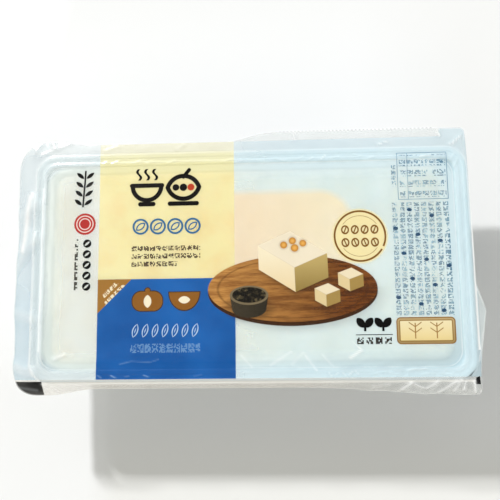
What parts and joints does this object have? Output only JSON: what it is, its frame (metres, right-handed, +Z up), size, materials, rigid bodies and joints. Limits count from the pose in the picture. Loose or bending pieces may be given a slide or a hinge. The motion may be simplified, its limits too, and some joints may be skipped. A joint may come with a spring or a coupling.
{
  "type": "sealed tofu tray pack",
  "caption": "Shallow thin-walled food tray filled with one block of set tofu, closed by a printed see-through lid film sealed across its flat flange.",
  "frame": {"origin": "middle of the tray's flat base", "axes": "+Z up through the lid, +X along the long side towards the end with the small panels, -Y towards the front edge"},
  "size_m": [0.1808, 0.102, 0.0395],
  "materials": {
    "tray_sheet": "milky see-through formed plastic sheet, satin",
    "tofu": "smooth soft set curd, moist, cream white",
    "lid_film": "glossy clear film with a pale blue tint and plain printed colour panels"
  },
  "bodies": {
    "root": {"tray": "tray_sheet", "tofu": "tofu", "lid_film": "lid_film"}
  },
  "joints": []
}
